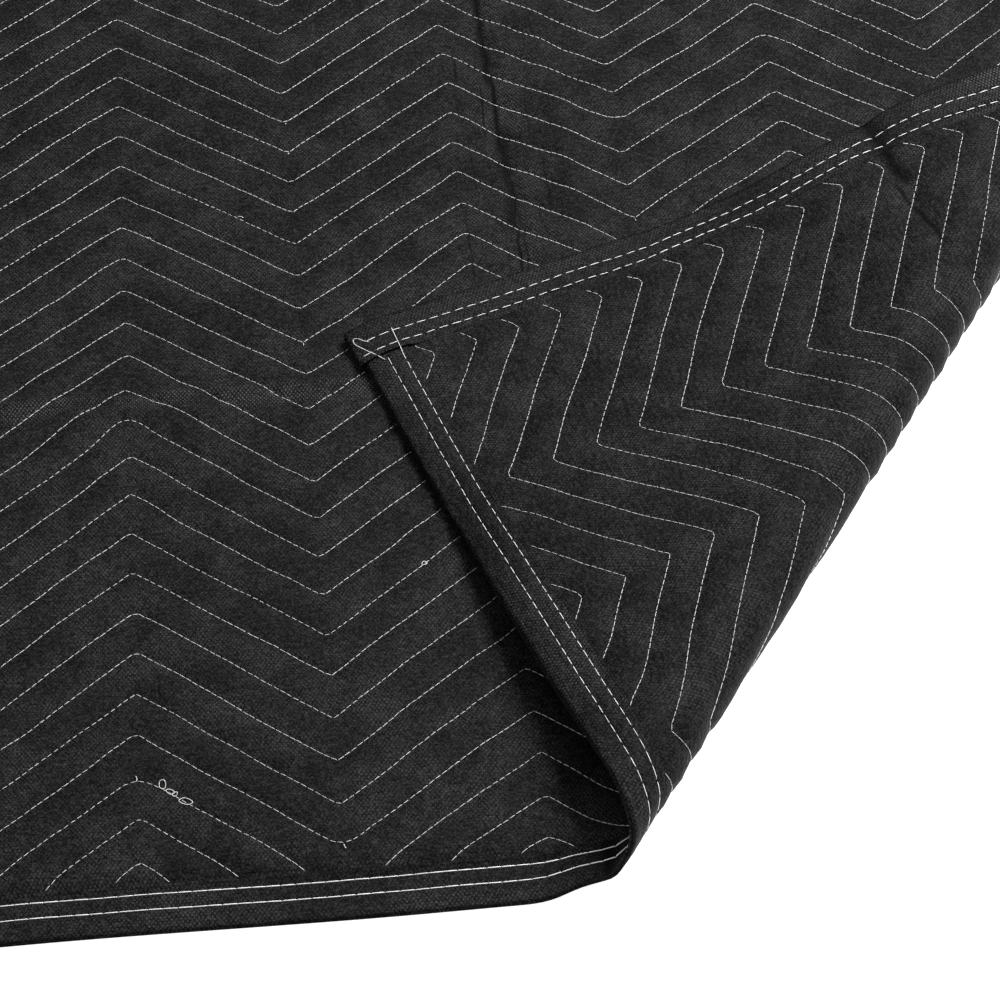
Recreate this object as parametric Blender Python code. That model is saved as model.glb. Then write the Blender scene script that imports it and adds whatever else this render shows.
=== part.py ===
"""A quilted moving pad, 80 by 72 inches, lying flat with its front right corner folded over.

Metres, +Z up. X runs along the front edge to the right, Y away from the front edge. The origin is
at the bottom centre of the laid pad.

Every piece is first made flat. A point of it has a place (u, v) on the pad, measured from the
front left corner, and a height q off the middle of the cloth. One function then lays it down:
flat on the floor, round the roll of the fold, and down the flap onto the pad.
"""

import math

import bmesh
import bpy

MM = 0.001

# The cut size of the pad, binding included
PAD_WIDTH = 2032 * MM
PAD_DEPTH = 1829 * MM

# The zigzag quilting: sixteen half waves across the width, three line gaps high
HALF_WAVE = PAD_WIDTH / 16
LINE_GAP = 33 * MM
WAVE_RISE = 3 * LINE_GAP
LAST_PEAK = PAD_WIDTH - 47 * MM
FIRST_LINE = 14.5 * MM
WAVE_COLUMNS = 17
QUILT_ROWS = 2 * 60
FIRST_ROW = FIRST_LINE - 4 * LINE_GAP

# Thickness of the quilt between the stitch lines and on them
CROWN = 10.5 * MM
STITCHED = 4.5 * MM

# The binding tape: its width on each face, its cloth, and the gap that sewn faces keep
TAPE_WIDTH = 34 * MM
TAPE_CLOTH = 0.8 * MM
SEWN_GAP = 0.3 * MM
NOSE_CHAMFER = 1.0 * MM

# The pressed edge of the quilt, half its thickness: at the front and back, and thicker at the
# sides, where the tapes are sewn last and lap over the ends of the front and back tapes.
# Its cut edge stays a little short of the tape's fold, which turns with it round the roll.
END_HALF = 1.5 * MM
SIDE_HALF = END_HALF + TAPE_CLOTH + SEWN_GAP
EDGE_INSET = TAPE_CLOTH + 3 * SEWN_GAP
PRESSED_END = TAPE_WIDTH + 0.4 * MM
QUILT_START = TAPE_WIDTH + 8 * MM
EDGE_MIDDLE = SIDE_HALF + SEWN_GAP + TAPE_CLOTH

# The fold: where it leaves the front edge, and its direction from the front edge
FOLD_START = 1453 * MM
FOLD_ANGLE = math.radians(54)

# The roll of the fold, from the floor up and over: radius of the cloth's middle, turn, steps
ROLL_ARCS = (
    {"radius": 62 * MM, "turn": math.radians(45), "steps": 3},
    {"radius": 26 * MM, "turn": math.radians(45), "steps": 2},
    {"radius": 16 * MM, "turn": math.radians(45), "steps": 2},
    {"radius": 32 * MM, "turn": math.radians(57), "steps": 3},
)
ROLL_TURN = sum(arc["turn"] for arc in ROLL_ARCS)
FLAP_SLOPE = ROLL_TURN - math.pi
LANDING_RADIUS = 120 * MM
REST_HEIGHT = 19 * MM

# Creases from storage, folded in quarters: pressed valleys, and one raised on the flap
CREASE_HALF = 26 * MM
CREASE_DEPTH = 2.5 * MM
CREASES_ACROSS = tuple(PAD_WIDTH * quarter / 4 for quarter in (1, 2, 3))
CREASES_ALONG = tuple(PAD_DEPTH * quarter / 4 for quarter in (1, 2, 3))
RIDGE_PLACE = 470 * MM
RIDGE_HALF = 110 * MM
RIDGE_RISE = 8 * MM
RIDGE_FADE = (50 * MM, 180 * MM)

CLOTH_BLACK = (0.017, 0.017, 0.018, 1.0)
TAPE_BLACK = (0.020, 0.020, 0.021, 1.0)
WELD = 0.00005
ALONG_U = (1, 0)
ALONG_V = (0, 1)


def clamp(value, low=0.0, high=1.0):
    """The value held between two limits."""
    return max(low, min(high, value))


def ramp(value, start, end):
    """0 before start, 1 after end, straight between them."""
    return clamp((value - start) / (end - start))


def past_fold(u, v):
    """How far a place on the pad lies past the fold line, and how far along it."""
    across = (u - FOLD_START) * math.sin(FOLD_ANGLE) - v * math.cos(FOLD_ANGLE)
    along = (u - FOLD_START) * math.cos(FOLD_ANGLE) + v * math.sin(FOLD_ANGLE)
    return across, along


def fold_stretches():
    """The cloth's middle line past the fold: arcs up and over, a straight slope, and the landing."""
    stretches = []
    start, x, z, turn = 0.0, 0.0, CROWN / 2, 0.0
    for arc in ROLL_ARCS:
        radius, end = arc["radius"], turn + arc["turn"]
        length = radius * arc["turn"]
        stretches.append({"start": start, "length": length, "x": x, "z": z, "turn": turn,
                          "bend": 1 / radius, "steps": arc["steps"]})
        x += radius * (math.sin(end) - math.sin(turn))
        z += radius * (math.cos(turn) - math.cos(end))
        start, turn = start + length, end
    landing_drop = LANDING_RADIUS * (1 - math.cos(FLAP_SLOPE))
    slope = (z - REST_HEIGHT - landing_drop) / math.sin(FLAP_SLOPE)
    stretches.append({"start": start, "length": slope, "x": x, "z": z, "turn": turn,
                      "bend": 0.0, "steps": 1})
    x += slope * math.cos(turn)
    z += slope * math.sin(turn)
    start += slope
    stretches.append({"start": start, "length": LANDING_RADIUS * FLAP_SLOPE, "x": x, "z": z,
                      "turn": turn, "bend": -1 / LANDING_RADIUS, "steps": 2})
    return stretches


def stretch_point(stretch, run):
    """The middle line at a run along one stretch: x, z and the direction that q points in."""
    turn = stretch["turn"] + run * stretch["bend"]
    if stretch["bend"]:
        x = stretch["x"] + (math.sin(turn) - math.sin(stretch["turn"])) / stretch["bend"]
        z = stretch["z"] + (math.cos(stretch["turn"]) - math.cos(turn)) / stretch["bend"]
    else:
        x = stretch["x"] + run * math.cos(turn)
        z = stretch["z"] + run * math.sin(turn)
    return (stretch["start"] + run, x, z, -math.sin(turn), math.cos(turn))


def fold_stations():
    """The middle line's points where the cloth is cut to bend: across, x, z and q's direction."""
    points = []
    for stretch in fold_stretches():
        for step in range(stretch["steps"]):
            points.append(stretch_point(stretch, stretch["length"] * step / stretch["steps"]))
    points.append(stretch_point(stretch, stretch["length"]))
    return points


STATIONS = fold_stations()
FLAP_START = fold_stretches()[-2]["start"]


def fold_profile(across):
    """The bent cloth at a distance past the fold: its x and z, and the direction that q points in."""
    if across <= 0:
        return across, CROWN / 2, 0.0, 1.0
    last = STATIONS[-1]
    if across >= last[0]:
        return last[1] - (across - last[0]), last[2], last[3], last[4]
    after = next(index for index, station in enumerate(STATIONS) if station[0] > across)
    before, beyond = STATIONS[after - 1], STATIONS[after]
    share = (across - before[0]) / (beyond[0] - before[0])
    return tuple(low + share * (high - low) for low, high in zip(before[1:], beyond[1:]))


def on_flap(u, v):
    """0 on the laid part, 1 on the flap, changing round the roll."""
    return ramp(past_fold(u, v)[0], 0.0, FLAP_START)


def lay(u, v, q):
    """Where a point of the flat pad comes to lie: q is its height off the cloth's middle."""
    across, along = past_fold(u, v)
    x, z, q_x, q_z = fold_profile(across)
    x += q * q_x
    z += q * q_z
    ridge = RIDGE_RISE * clamp(1 - abs(v - RIDGE_PLACE) / RIDGE_HALF)
    z += ridge * ramp(across, *RIDGE_FADE)
    left = FOLD_START + along * math.cos(FOLD_ANGLE) + x * math.sin(FOLD_ANGLE)
    away = along * math.sin(FOLD_ANGLE) - x * math.cos(FOLD_ANGLE)
    return left - PAD_WIDTH / 2, away - PAD_DEPTH / 2, z


def edge_middle(u, v):
    """The height of the pressed edge's middle: low on the floor, centred on the flap."""
    return (EDGE_MIDDLE - CROWN / 2) * (1 - on_flap(u, v))


def wave(u):
    """The height of the zigzag at u, from 0 in a valley to WAVE_RISE on a peak."""
    phase = abs((u - LAST_PEAK) / HALF_WAVE) % 2
    return WAVE_RISE * abs(1 - phase)


def quilt_thickness(u, v):
    """The quilt's thickness: drawn in on the stitch lines, full between them."""
    phase = ((v - FIRST_LINE - wave(u)) / LINE_GAP) % 1
    crown = math.sqrt(clamp(1 - abs(2 * phase - 1)))
    thickness = STITCHED + (CROWN - STITCHED) * crown
    for place, creases in ((u, CREASES_ACROSS), (v, CREASES_ALONG)):
        for crease in creases:
            thickness -= CREASE_DEPTH * clamp(1 - abs(place - crease) / CREASE_HALF)
    return thickness


def quilt_faces(u, v):
    """The heights of the quilt's lower and upper face off the cloth's middle."""
    from_side = min(u, PAD_WIDTH - u)
    from_end = min(v, PAD_DEPTH - v)
    inside_side = ramp(from_side, PRESSED_END, QUILT_START)
    inside_end = ramp(from_end, PRESSED_END, QUILT_START)
    edge_half = END_HALF + (SIDE_HALF - END_HALF) * inside_end
    middle = edge_middle(u, v)
    thickness = quilt_thickness(u, v)
    lower = -CROWN / 2 + on_flap(u, v) * (CROWN - thickness) / 2
    upper = lower + thickness
    inside = min(inside_side, inside_end)
    return (middle - edge_half + (lower - middle + edge_half) * inside,
            middle + edge_half + (upper - middle - edge_half) * inside)


def flat_cut(mesh, place, normal, drop=None):
    """Cut the flat mesh along the line through place with this normal, and drop one side or none."""
    bmesh.ops.bisect_plane(mesh, geom=mesh.verts[:] + mesh.edges[:] + mesh.faces[:], dist=WELD,
                           plane_co=(place[0], place[1], 0), plane_no=(normal[0], normal[1], 0),
                           clear_outer=drop == "beyond", clear_inner=drop == "before")


def fold_cuts(mesh):
    """Cut the flat mesh along the lines where the fold bends."""
    normal = (math.sin(FOLD_ANGLE), -math.cos(FOLD_ANGLE))
    for across in [station[0] for station in STATIONS] + list(RIDGE_FADE):
        place = (FOLD_START + across * normal[0], across * normal[1])
        flat_cut(mesh, place, normal)


def ridge_cuts(mesh, steps):
    """Cut the flat mesh along the flap's raised crease, in steps on each side of it."""
    for step in range(-steps, steps + 1):
        flat_cut(mesh, (0, RIDGE_PLACE + RIDGE_HALF * step / steps), ALONG_V)


def cloth_material(name, colour, roughness):
    """A plain matt cloth."""
    material = bpy.data.materials.new(name)
    material.use_nodes = True
    surface = material.node_tree.nodes["Principled BSDF"]
    surface.inputs["Base Color"].default_value = colour
    surface.inputs["Roughness"].default_value = roughness
    surface.inputs["Metallic"].default_value = 0.0
    return material


def place_mesh(bm, name, material, collection):
    """Make one object of a laid bmesh, triangles pointing out."""
    bmesh.ops.triangulate(bm, faces=bm.faces)
    bmesh.ops.recalc_face_normals(bm, faces=bm.faces)
    mesh = bpy.data.meshes.new(name)
    bm.to_mesh(mesh)
    bm.free()
    mesh.shade_smooth()
    mesh.set_sharp_from_angle(angle=math.radians(50))
    mesh.materials.append(material)
    piece = bpy.data.objects.new(name, mesh)
    collection.objects.link(piece)
    return piece


def make_quilted_panel(material, collection):
    """The quilt: a flat grid that follows the zigzag rows, cut to size, given its faces and laid."""
    bm = bmesh.new()
    bmesh.ops.create_grid(bm, x_segments=WAVE_COLUMNS, y_segments=QUILT_ROWS, size=0.5)
    for vert in bm.verts:
        column = round((vert.co.x + 0.5) * WAVE_COLUMNS)
        row = round((vert.co.y + 0.5) * QUILT_ROWS)
        u = LAST_PEAK + HALF_WAVE * (column - WAVE_COLUMNS + 1)
        vert.co = (u, FIRST_ROW + row * LINE_GAP / 2 + wave(u), 0)
    for inset, trim in ((EDGE_INSET, True), (PRESSED_END, False), (QUILT_START, False)):
        before, beyond = ("before", "beyond") if trim else (None, None)
        flat_cut(bm, (inset, 0), ALONG_U, before)
        flat_cut(bm, (PAD_WIDTH - inset, 0), ALONG_U, beyond)
        flat_cut(bm, (0, inset), ALONG_V, before)
        flat_cut(bm, (0, PAD_DEPTH - inset), ALONG_V, beyond)
    for crease in CREASES_ACROSS:
        flat_cut(bm, (crease, 0), ALONG_U)
    for crease in CREASES_ALONG:
        flat_cut(bm, (0, crease), ALONG_V)
    fold_cuts(bm)
    ridge_cuts(bm, 2)
    raised = bmesh.ops.extrude_face_region(bm, geom=bm.faces[:])["geom"]
    upper = {item for item in raised if isinstance(item, bmesh.types.BMVert)}
    under = [face for face in bm.faces if not any(vert in upper for vert in face.verts)]
    laid = [face for face in under if all(lies_on_floor(vert.co) for vert in face.verts)]
    for vert in bm.verts:
        u, v = vert.co.x, vert.co.y
        vert.co = lay(u, v, quilt_faces(u, v)[1 if vert in upper else 0])
    bmesh.ops.dissolve_faces(bm, faces=laid, use_verts=True)
    return place_mesh(bm, "quilted_panel", material, collection)


def lies_on_floor(place):
    """Whether the quilt's underside at this place rests flat on the floor."""
    from_edge = min(place.x, PAD_WIDTH - place.x, place.y, PAD_DEPTH - place.y)
    return from_edge > QUILT_START - WELD and past_fold(place.x, place.y)[0] < WELD


def tape_section(edge_half):
    """The folded tape's section: distance in from the edge and height off its middle."""
    inner = edge_half + SEWN_GAP
    outer = inner + TAPE_CLOTH
    nose = outer - NOSE_CHAMFER
    return ((TAPE_WIDTH, -outer), (NOSE_CHAMFER, -outer), (0, -nose), (0, nose),
            (NOSE_CHAMFER, outer), (TAPE_WIDTH, outer), (TAPE_WIDTH, inner),
            (TAPE_CLOTH + SEWN_GAP, inner), (TAPE_CLOTH + SEWN_GAP, -inner), (TAPE_WIDTH, -inner))


def make_binding(name, edge, edge_half, material, collection):
    """One tape: its section drawn as a face, extruded along the edge, cut at the fold and laid."""
    along_u = edge in ("front", "back")
    start = EDGE_INSET if along_u else 0.0
    end = (PAD_WIDTH if along_u else PAD_DEPTH) - start
    bm = bmesh.new()
    section = []
    for inward, height in tape_section(edge_half):
        place = {"front": (start, inward), "back": (start, PAD_DEPTH - inward),
                 "left": (inward, start), "right": (PAD_WIDTH - inward, start)}[edge]
        section.append(bm.verts.new((place[0], place[1], height)))
    face = bm.faces.new(section)
    pulled = bmesh.ops.extrude_face_region(bm, geom=[face], use_keep_orig=True)["geom"]
    ends = [item for item in pulled if isinstance(item, bmesh.types.BMVert)]
    run = (end - start, 0, 0) if along_u else (0, end - start, 0)
    bmesh.ops.translate(bm, verts=ends, vec=run)
    fold_cuts(bm)
    ridge_cuts(bm, 10)
    for vert in bm.verts:
        u, v, height = vert.co
        vert.co = lay(u, v, height + edge_middle(u, v))
    return place_mesh(bm, name, material, collection)


def main():
    """Clear the file and make the pad."""
    for old in list(bpy.data.objects):
        bpy.data.objects.remove(old)
    pieces = bpy.data.collections.new("moving_pad")
    bpy.context.scene.collection.children.link(pieces)
    cloth = cloth_material("black_nonwoven_quilt", CLOTH_BLACK, 0.9)
    tape = cloth_material("black_binding_tape", TAPE_BLACK, 0.85)
    make_quilted_panel(cloth, pieces)
    make_binding("front_binding", "front", END_HALF, tape, pieces)
    make_binding("back_binding", "back", END_HALF, tape, pieces)
    make_binding("left_binding", "left", SIDE_HALF, tape, pieces)
    make_binding("right_binding", "right", SIDE_HALF, tape, pieces)


main()
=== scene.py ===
# %% [markdown]
# A moving pad is a quilt for wrapping furniture: two faces of black nonwoven cloth with batting
# between them, sewn together in zigzag rows, cut to 80 by 72 inches and bound with tape.
# Here it lies on the floor with its front right corner folded over, so both faces show.
# The frame holds its solids. This script makes what the eye sees: the soft quilt, the puckered
# tape, and every stitch.

# %% The frame
import math

import bmesh
import bpy
import numpy as np
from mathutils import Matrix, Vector


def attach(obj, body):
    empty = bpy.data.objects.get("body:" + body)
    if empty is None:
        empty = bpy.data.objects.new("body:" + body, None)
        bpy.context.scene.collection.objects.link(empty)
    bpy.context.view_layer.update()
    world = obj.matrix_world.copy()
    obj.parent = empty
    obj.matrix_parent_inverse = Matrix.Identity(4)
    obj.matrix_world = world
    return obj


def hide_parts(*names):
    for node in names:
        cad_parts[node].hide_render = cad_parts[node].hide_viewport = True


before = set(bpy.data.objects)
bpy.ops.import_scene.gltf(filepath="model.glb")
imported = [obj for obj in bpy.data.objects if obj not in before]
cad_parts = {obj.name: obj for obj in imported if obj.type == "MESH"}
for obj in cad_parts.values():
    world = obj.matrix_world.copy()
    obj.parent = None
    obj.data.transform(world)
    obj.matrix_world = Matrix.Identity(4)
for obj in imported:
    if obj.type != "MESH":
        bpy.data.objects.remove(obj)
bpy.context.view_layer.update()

MM = 0.001
print("nodes", sorted(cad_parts))

# %% [markdown]
# Cloth is cut and sewn flat, and only then laid down. So every piece here is worked out flat too.
# A point has a place on the pad, u to the right and v away from the front left corner, and a
# height q off the cloth's middle. The pad, its rows and its fold have the same sizes in the
# solids, so the pieces fit them. The storage creases lie a little off the pad's quarters, as on
# one that was folded by hand.

# %% The maker's sizes
PAD_WIDTH = 2032 * MM
PAD_DEPTH = 1829 * MM
HALF_WAVE = PAD_WIDTH / 16
LINE_GAP = 33 * MM
WAVE_RISE = 3 * LINE_GAP
LAST_PEAK = PAD_WIDTH - 47 * MM
FIRST_LINE = 14.5 * MM
CROWN = 10.5 * MM
TAPE_WIDTH = 34 * MM
TAPE_CLOTH = 0.8 * MM
END_TAPE_HALF = 1.6 * MM
SIDE_TAPE_HALF = 3.2 * MM
QUILT_INSET = 1.8 * MM
FOLD_START = 1453 * MM
FOLD_ANGLE = math.radians(54)
ROLL_ARCS = ((62, 45), (26, 45), (16, 45), (32, 57))
LANDING_RADIUS = 120 * MM
REST_HEIGHT = 19 * MM
CREASE_ACROSS = 1516 * MM
CREASE_SLANT = 0.035
CREASE_ALONG = 427 * MM
print("rows of stitches", LINE_GAP / MM, "mm apart, a half wave is", HALF_WAVE / MM, "mm")

# %% [markdown]
# The fold is a soft roll, never a sharp bend, because the batting resists. Its section is a walk
# along the cloth's middle: turn a little at each half millimetre, by the radius of that stretch.
# An arc of the roll is a radius in millimetres and a turn in degrees. Blurring the turn makes the
# stretches run into each other as real cloth does.

# %% The section of the fold
WALK = 0.5 * MM
SOFTEN = 12 * MM


def walk_section(bends):
    """The middle line's x, height and turn at each step of a walk with these bends."""
    turn = np.concatenate([[0.0], np.cumsum(bends) * WALK])
    middle = (turn[1:] + turn[:-1]) / 2
    x = np.concatenate([[0.0], np.cumsum(np.cos(middle)) * WALK])
    z = CROWN / 2 + np.concatenate([[0.0], np.cumsum(np.sin(middle)) * WALK])
    return x, z, turn


def fold_bends():
    """How sharply the cloth bends at each step: round the roll, down the flap, and flat again."""
    arcs = [(radius * MM, math.radians(degrees)) for radius, degrees in ROLL_ARCS]
    roll = np.concatenate([np.full(round(r * turn / WALK), 1 / r) for r, turn in arcs])
    slope_turn = sum(turn for _, turn in arcs) - math.pi
    top = walk_section(roll)[1][-1]
    drop = top - REST_HEIGHT - LANDING_RADIUS * (1 - math.cos(slope_turn))
    slope = np.zeros(round(drop / math.sin(slope_turn) / WALK))
    landing = np.full(round(LANDING_RADIUS * slope_turn / WALK), -1 / LANDING_RADIUS)
    bends = np.concatenate([roll, slope, landing])
    width = round(SOFTEN / WALK)
    return np.convolve(bends, np.ones(width) / width, mode="full")


FOLD_X, FOLD_Z, FOLD_TURN = walk_section(fold_bends())
FOLD_PLACES = np.arange(len(FOLD_X)) * WALK - SOFTEN / 2
FOLD_X = FOLD_X - SOFTEN / 2
print("fold section", len(FOLD_X), "steps, top", round(FOLD_Z.max() / MM, 1), "mm")

# %% [markdown]
# Nothing sewn is even. Smooth random swells, made of a few waves in random directions from a
# fixed seed, pull the lines a little off true and leave the cloth rumpled.

# %% Swells and ramps


def swell(u, v, scale, seed, stretch=1.0, waves=18):
    """Smooth bumps about scale across, between -1 and 1, drawn out along v by stretch."""
    rng = np.random.default_rng(seed)
    total = np.zeros_like(u)
    for _ in range(waves):
        angle = rng.uniform(0, 2 * math.pi)
        number = 2 * math.pi / (scale * rng.uniform(1.4, 2.6))
        shift = rng.uniform(0, 2 * math.pi)
        total += np.sin(number * (u * math.cos(angle) + v * math.sin(angle) / stretch) + shift)
    return np.clip(total / math.sqrt(waves), -1.6, 1.6) / 1.6


def ease(value, start, end):
    """0 before start, 1 after end, with soft ends."""
    share = np.clip((value - start) / (end - start), 0, 1)
    return share * share * (3 - 2 * share)


def bump(value, middle, reach):
    """1 at the middle, falling softly to nothing at about twice the reach."""
    return np.exp(-((value - middle) / reach) ** 2)


def from_edge(u, v):
    """The distance in from the pad's nearest edge."""
    return np.minimum(np.minimum(u, PAD_WIDTH - u), np.minimum(v, PAD_DEPTH - v))


def past_fold(u, v):
    """How far a place lies past the fold line, and how far along it."""
    across = (u - FOLD_START) * math.sin(FOLD_ANGLE) - v * math.cos(FOLD_ANGLE)
    along = (u - FOLD_START) * math.cos(FOLD_ANGLE) + v * math.sin(FOLD_ANGLE)
    return across, along


def on_flap(u, v):
    """0 on the laid part, 1 on the flap."""
    return ease(past_fold(u, v)[0], 0.0, 130 * MM)


# %% [markdown]
# Laying the cloth turns a flat point into a place in the room. The pull of the stitches shifts
# it first, then the fold carries it round. On the flap a storage crease stands up as a low ridge
# with a sharp groove in it, and beyond it the flap's bound edge curls up a little. The pulls are
# soft round patches where the rows lie up to 8 mm off their even pattern, dragged by hand.

# %% Laying the cloth
RIDGE_PLACE = 432 * MM
RIDGE_HALF = 150 * MM
RIDGE_RISE = 14.5 * MM
GROOVE_PLACE = 419 * MM
GROOVE_SLANT = 0.13
GROOVE_REACH = 8 * MM
GROOVE_DEPTH = 5.0 * MM
EDGE_LIFT = 16.5 * MM
LIFT_WIDTH = 32 * MM
LIFT_START = 405 * MM
LIFT_GROWTH = 70 * MM
DROOP = 2.4 * MM
DROOP_REACH = 24 * MM
# each pull: where, how far it reaches and how far it moves, to the right and away, in mm
PULLS = (
    (1223, 360, 60, 50, 0, 4),
    (1400, 480, 70, 60, 1, -4),
    (1484, 115, 60, 110, 3, -7),
    (1604, 690, 60, 90, 0, 7),
    (1800, 690, 110, 90, -1, -5),
    (1858, 146, 60, 55, -8, -1),
    (1680, 55, 90, 45, -6, -2),
    (1731, 220, 60, 40, -5, -4),
    (1858, 330, 60, 90, -4, -1),
    (1731, 140, 40, 35, 3, 0),
    (1218, 40, 80, 60, -2.4, 0),
    (1223, 410, 50, 16, 0, 5),
    (1223, 443, 50, 14, 0, -3),
)
FRONT_BOW = 3.6 * MM
# each pull of the front edge: where along it, how far it reaches and how far it moves, in mm
EDGE_PULLS = ((1494, 15, 4), (1521, 9, -4))
HELD_EDGE = (27 * MM, 55 * MM)
SWAY = 1.2 * MM
FAR_DRIFT = 6.5 * MM
FLAP_SWELL = 1.3 * MM
FLOOR_GAP = 0.05 * MM
LOWEST = 0.02 * MM


def pulled(u, v):
    """Where a place of the even pattern really lies on the flat pad."""
    free = ease(from_edge(u, v), *HELD_EDGE)
    shift_u = SWAY * swell(u, v, 70 * MM, 11)
    shift_v = SWAY * swell(u, v, 80 * MM, 12) - FAR_DRIFT * ease(v, 430 * MM, 680 * MM)
    for at_u, at_v, reach_u, reach_v, by_u, by_v in np.array(PULLS) * MM:
        share = bump(u, at_u, reach_u) * bump(v, at_v, reach_v)
        shift_u += share * by_u
        shift_v += share * by_v
    return u + shift_u * free, v + shift_v * free


def lay(u, v, q):
    """The places in the room of points of the flat pad."""
    u, v, q = np.broadcast_arrays(*(np.asarray(value, float) for value in (u, v, q)))
    even_u, even_v = pulled(u, v)
    even_v = even_v + FRONT_BOW * ease(-u, -1400 * MM, -1150 * MM) * ease(-v, -190 * MM, -60 * MM)
    for at, reach, by in np.array(EDGE_PULLS) * MM:
        even_v += by * bump(u, at, reach) * ease(-v, -55 * MM, -8 * MM)
    across, along = past_fold(even_u, even_v)
    x = np.interp(across, FOLD_PLACES, FOLD_X)
    z = np.interp(across, FOLD_PLACES, FOLD_Z)
    turn = np.interp(across, FOLD_PLACES, FOLD_TURN)
    x = x + np.minimum(across - FOLD_PLACES[0], 0) - np.maximum(across - FOLD_PLACES[-1], 0)
    ridge = RIDGE_RISE * (1 - ease(np.abs(v - RIDGE_PLACE), 0, RIDGE_HALF))
    groove_place = GROOVE_PLACE - GROOVE_SLANT * np.maximum(PAD_WIDTH - 20 * MM - u, 0)
    groove_place = groove_place + 2 * MM * swell(u, u * 0, 60 * MM, 14)
    groove = bump(v, groove_place, GROOVE_REACH)
    groove = groove * GROOVE_DEPTH * ease(u, PAD_WIDTH - 190 * MM, PAD_WIDTH - 90 * MM)
    groove = groove * (1 - 0.35 * ease(u, PAD_WIDTH - 50 * MM, PAD_WIDTH - 25 * MM))
    z += (ridge - groove) * ease(across, 30 * MM, 150 * MM)
    z += FLAP_SWELL * swell(u, v, 110 * MM, 13) * ease(across, 60 * MM, 200 * MM)
    droop = np.clip((DROOP_REACH - v) / DROOP_REACH, 0, 1) ** 2
    droop = droop * (3 - ease(across, 150 * MM, 330 * MM)) * ease(across, 110 * MM, 190 * MM)
    z -= DROOP * droop
    lifted = np.clip(1 - (PAD_WIDTH - u) / LIFT_WIDTH, 0, 1) * ease(across, 80 * MM, 150 * MM)
    z += EDGE_LIFT * lifted * (1 - np.exp(-np.maximum(v - LIFT_START, 0) / LIFT_GROWTH))
    x -= q * np.sin(turn)
    z += q * np.cos(turn)
    left = FOLD_START + along * math.cos(FOLD_ANGLE) + x * math.sin(FOLD_ANGLE)
    away = along * math.sin(FOLD_ANGLE) - x * math.cos(FOLD_ANGLE)
    z = np.maximum(z, FLOOR_GAP)
    return np.stack([left - PAD_WIDTH / 2, away - PAD_DEPTH / 2, z], axis=-1)


print("the folded corner lands at", np.round(lay([PAD_WIDTH], [0], [0])[0] / MM), "mm")

# %% [markdown]
# The zigzag is a row of straight slopes with turns as tight as the machine's frame can make them,
# so the tips are a little round. The quilt is thin at the stitches and stands up between them.
# Small puckers run out from each line, because the thread draws the cloth together.

# %% The quilted surface
TIP_ROUND = 2.5 * MM
TOP_DIP = 2.5 * MM
FLOOR_DIP = 1.0 * MM
DIP_REACH = 5.5 * MM
PUCKER = 0.45 * MM
PUCKER_REACH = 8 * MM
LOW_EDGE = -3.3 * MM
EDGE_HALF = 0.7 * MM
SLOPE_COSINE = 0.79
VALLEY_DEPTH = 3.4 * MM
VALLEY_LEFT = 17 * MM
VALLEY_RIGHT = 12 * MM
SHOULDER_RISE = 2.0 * MM
SHOULDER = (47 * MM, 13 * MM)
BAND_DEPTH = 1.6 * MM
BAND = (0, 4 * MM)
LIP_RISE = 1.0 * MM
LIP = (9 * MM, 7 * MM)


def wave(u, tips=None):
    """The height of the zigzag at u, with its turns rounded, each by its own tip if given."""
    turn = np.rint((u - LAST_PEAK) / HALF_WAVE).astype(int)
    tip = TIP_ROUND if tips is None else tips[turn]
    off = np.abs(u - LAST_PEAK - turn * HALF_WAVE)
    slope = WAVE_RISE / HALF_WAVE
    rounding = slope * np.maximum(tip - off, 0) ** 2 / (2 * tip)
    return np.where(turn % 2 == 0, WAVE_RISE - slope * off - rounding, slope * off + rounding)


def creases(u, v):
    """How far the storage creases press the upper face down or lift it, on the laid part."""
    place = u - CREASE_ACROSS + CREASE_SLANT * (v - 600 * MM)
    valley_reach = np.where(place < 0, VALLEY_LEFT, VALLEY_RIGHT)
    valley = -VALLEY_DEPTH * np.exp(-(np.abs(place) / valley_reach) ** 1.3)
    shoulder = SHOULDER_RISE * bump(place, *SHOULDER)
    place = v - CREASE_ALONG - 4 * MM * swell(u, u * 0, 120 * MM, 25)
    band = -BAND_DEPTH * bump(place, *BAND) * ease(swell(u, u * 0, 40 * MM, 26), -0.5, 0.2)
    return valley + shoulder + band + LIP_RISE * bump(place, *LIP)


def face_height(u, v, side):
    """The height q of the quilt's upper face (side 1) or lower face (side -1)."""
    flap = on_flap(u, v)
    across_line = v - FIRST_LINE - wave(u)
    phase = (across_line / LINE_GAP) % 1
    near = np.minimum(phase, 1 - phase) * LINE_GAP * SLOPE_COSINE
    drawn_in = np.exp(-(near / DIP_REACH) ** 1.5)
    pucker = swell(u * 1.27, across_line, 5.5 * MM, 31 + side, stretch=5.0)
    lumps = 0.55 * MM * swell(u, v, 16 * MM, 33 + side) + 0.6 * MM * swell(u, v, 45 * MM, 35 + side)
    rumple = PUCKER * pucker * bump(near, 0, PUCKER_REACH) * (1 - 0.5 * drawn_in) + lumps
    if side > 0:
        body = CROWN / 2 - TOP_DIP * drawn_in + rumple + creases(u, v) * (1 - flap)
    else:
        dip = FLOOR_DIP + (TOP_DIP - FLOOR_DIP) * flap
        body = -CROWN / 2 + dip * drawn_in + (rumple + 0.6 * MM) * flap + 0.2 * MM * (1 - flap)
    inside = ease(from_edge(u, v), 27 * MM, 40 * MM)
    edge = LOW_EDGE * (1 - flap) + side * EDGE_HALF
    return edge + (body - edge) * inside


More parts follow.
